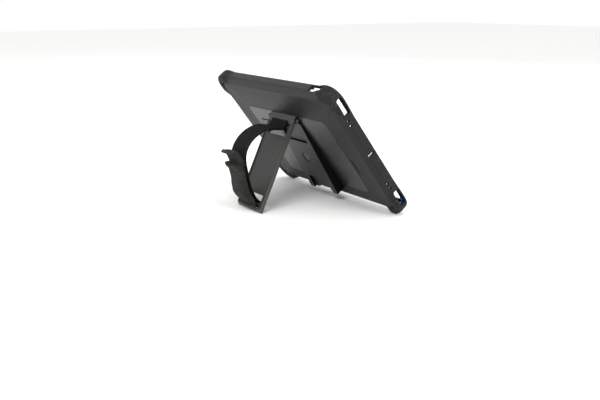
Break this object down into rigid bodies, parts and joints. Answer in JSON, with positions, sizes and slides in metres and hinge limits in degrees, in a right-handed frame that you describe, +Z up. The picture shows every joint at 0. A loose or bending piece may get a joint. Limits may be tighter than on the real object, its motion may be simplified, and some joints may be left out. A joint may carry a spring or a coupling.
{
  "type": "tablet case",
  "caption": "Shock-absorbing tablet case standing on its fold-out stand: rubber tray with corner bumpers, hard back plate, blue pads inside and a hand strap on the stand leaf.",
  "frame": {"origin": "on the table, under the middle of the standing case and its open stand", "axes": "+Z up, X along the case's long side, the open tray faces -Y and up, the back and the stand are on the +Y side"},
  "size_m": [0.268, 0.1814, 0.1612],
  "materials": {
    "shell_rubber": "matte moulded TPU with a fine texture",
    "liner_rubber": "satin moulded TPU",
    "plate_plastic": "satin polycarbonate",
    "leaf_plastic": "satin polycarbonate, fine moulded texture",
    "blue_rubber": "soft satin silicone rubber",
    "label_film": "printed polyester film",
    "screw_steel": "zinc-plated steel",
    "pin_steel": "turned steel",
    "magnet_nickel": "nickel plate",
    "washer_nylon": "nylon",
    "webbing": "woven polyester webbing",
    "sleeve_fabric": "woven nylon over foam"
  },
  "bodies": {
    "case": {"outer_shell": "shell_rubber", "shock_liner": "liner_rubber", "back_plate": "plate_plastic", "inner_plate": "plate_plastic", "rating_label": "label_film", "floor_pad_1": "blue_rubber", "floor_pad_2": "blue_rubber", "floor_pad_3": "blue_rubber", "floor_pad_4": "blue_rubber", "corner_pad_1": "blue_rubber", "corner_pad_2": "blue_rubber", "corner_pad_3": "blue_rubber", "corner_pad_4": "blue_rubber", "plate_screws": "screw_steel", "dock_screws": "screw_steel", "stand_dock": "plate_plastic", "dock_magnet": "magnet_nickel", "hinge_pin": "pin_steel", "hinge_washers": "washer_nylon"},
    "stand": {"stand_leaf": "leaf_plastic", "keeper_disc": "pin_steel", "strap_webbing": "webbing", "strap_sleeve": "sleeve_fabric", "strap_tab": "sleeve_fabric"}
  },
  "joints": [
    {"name": "stand_hinge", "type": "hinge", "parent": "case", "child": "stand", "pos_m": [0, 0.00741, 0.10916], "axis": [-1, 0, 0], "range_deg": [0, 55.8]}
  ]
}
